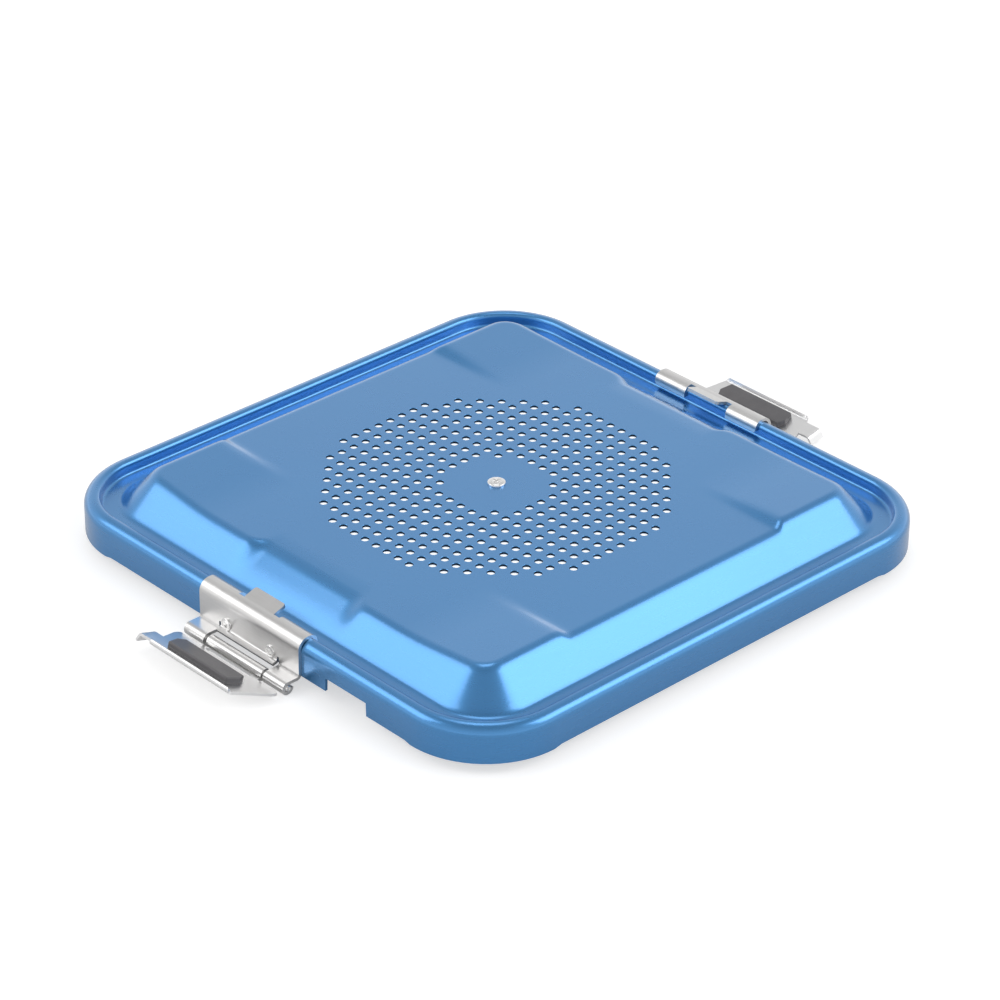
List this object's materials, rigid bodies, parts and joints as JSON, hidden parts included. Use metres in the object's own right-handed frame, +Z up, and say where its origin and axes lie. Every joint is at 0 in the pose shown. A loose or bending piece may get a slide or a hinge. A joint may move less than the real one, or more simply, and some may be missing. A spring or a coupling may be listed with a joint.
{
  "type": "sterilization container lid",
  "caption": "Square perforated lid of a sterilization container, with a sealing rim, a removable filter holder below and swinging draw latches on two sides.",
  "frame": {"origin": "on the table, under the middle of the lid, which stands on its latch knuckles", "axes": "+Z up, out of the perforated deck; +Y towards the rear latch, so the front latch is at -Y"},
  "size_m": [0.28, 0.3491, 0.0315],
  "materials": {
    "blue_anodised": "satin blue anodised",
    "stainless": "brushed",
    "polished_steel": "polished",
    "silicone": "matte silicone",
    "grip_plastic": "dark grey moulded plastic",
    "raw_aluminium": "satin",
    "hub_plastic": "pale grey moulded plastic",
    "filter_paper": "non-woven filter sheet"
  },
  "bodies": {
    "lid": {"lid_pan": "blue_anodised", "rim_gasket": "silicone", "centre_screw": "polished_steel", "stud_gasket": "silicone", "centre_stud": "polished_steel", "front_bracket": "stainless", "front_hinge_pin": "polished_steel", "front_bracket_rivets": "polished_steel", "front_rivet_washers": "polished_steel", "rear_bracket": "stainless", "rear_hinge_pin": "polished_steel", "rear_bracket_rivets": "polished_steel", "rear_rivet_washers": "polished_steel"},
    "front_latch": {"front_lever": "stainless", "front_grip_pad": "grip_plastic", "front_pad_rivets": "polished_steel"},
    "rear_latch": {"rear_lever": "stainless", "rear_grip_pad": "grip_plastic", "rear_pad_rivets": "polished_steel"},
    "filter_holder": {"retention_plate": "raw_aluminium", "filter_disc": "filter_paper", "retention_gasket": "silicone", "hub_housing": "hub_plastic", "button_spring": "polished_steel", "locking_clip": "polished_steel", "hub_rivets": "polished_steel"},
    "button": {"release_button": "grip_plastic"}
  },
  "joints": [
    {"name": "front_latch_hinge", "type": "hinge", "parent": "lid", "child": "front_latch", "pos_m": [0, -0.1475, 0.00305], "axis": [1, 0, 0], "range_deg": [-27, 108]},
    {"name": "rear_latch_hinge", "type": "hinge", "parent": "lid", "child": "rear_latch", "pos_m": [0, 0.1475, 0.00305], "axis": [-1, 0, 0], "range_deg": [-34, 101]},
    {"name": "filter_holder_slide", "type": "slide", "parent": "lid", "child": "filter_holder", "axis": [0, 0, -1], "range_m": [0, 0.012], "deforming": ["locking_clip"]},
    {"name": "release_button_slide", "type": "slide", "parent": "filter_holder", "child": "button", "axis": [0, 0, 1], "range_m": [0, 0.002], "stiffness_N_per_m": 500, "springref_m": -0.001, "deforming": ["button_spring"]}
  ]
}
